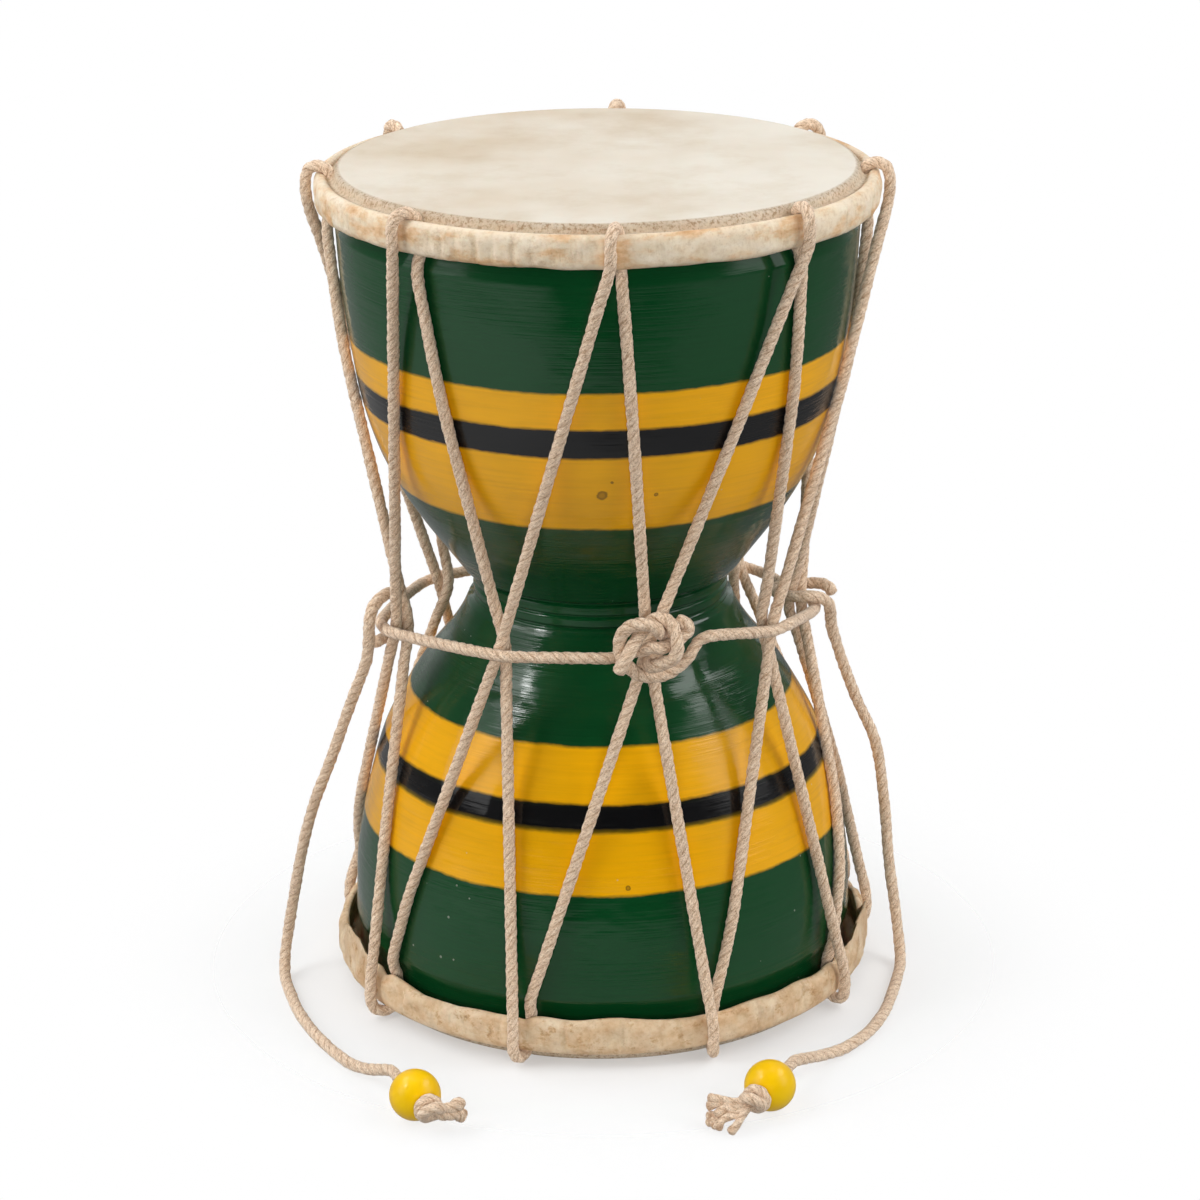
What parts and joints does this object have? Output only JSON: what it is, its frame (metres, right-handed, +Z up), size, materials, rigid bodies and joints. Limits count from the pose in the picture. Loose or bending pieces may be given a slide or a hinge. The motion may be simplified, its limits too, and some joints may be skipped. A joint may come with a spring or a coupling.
{
  "type": "hourglass drum",
  "caption": "Hourglass hand drum with a lacquered turned shell, rope-laced skin heads and beaded cord strikers hitched at the waist.",
  "frame": {"origin": "centre of the lower head's flat face, on the drum's axis, where the drum stands", "axes": "+Z up the drum's axis; -Y towards the side with the waist knot and the beads"},
  "size_m": [0.178, 0.1931, 0.2325],
  "materials": {
    "lacquer": "gloss lacquer in green, yellow and black bands",
    "skin": "matte rawhide",
    "cane": "bare cane",
    "rope": "laid cotton rope, matte",
    "bead": "gloss"
  },
  "bodies": {
    "drum": {"shell": "lacquer", "top_head": "skin", "bottom_head": "skin", "top_hoop": "cane", "bottom_hoop": "cane", "lacing_a": "rope", "lacing_b": "rope", "waist_cord": "rope", "hitch_left": "rope", "hitch_right": "rope"},
    "striker_left": {"striker_cord_left": "rope", "end_knot_left": "rope"},
    "bead_left": {"bead_left": "bead"},
    "striker_right": {"striker_cord_right": "rope", "end_knot_right": "rope"},
    "bead_right": {"bead_right": "bead"}
  },
  "joints": [
    {"name": "striker_left_swing", "type": "hinge", "parent": "drum", "child": "striker_left", "pos_m": [-0.06342, -0.02342, 0.10214], "axis": [-0.3256, 0.9455, 0], "range_deg": [0, 120], "deforming": ["striker_cord_left"]},
    {"name": "bead_left_slide", "type": "slide", "parent": "striker_left", "child": "bead_left", "axis": [-0.4478, 0.8942, 0], "range_m": [0, 0.005]},
    {"name": "striker_right_swing", "type": "hinge", "parent": "drum", "child": "striker_right", "pos_m": [0.06614, 0.00694, 0.09174], "axis": [0.1219, -0.9925, 0], "range_deg": [0, 120], "deforming": ["striker_cord_right"]},
    {"name": "bead_right_slide", "type": "slide", "parent": "striker_right", "child": "bead_right", "axis": [0.4633, 0.8862, 0], "range_m": [0, 0.005]}
  ]
}
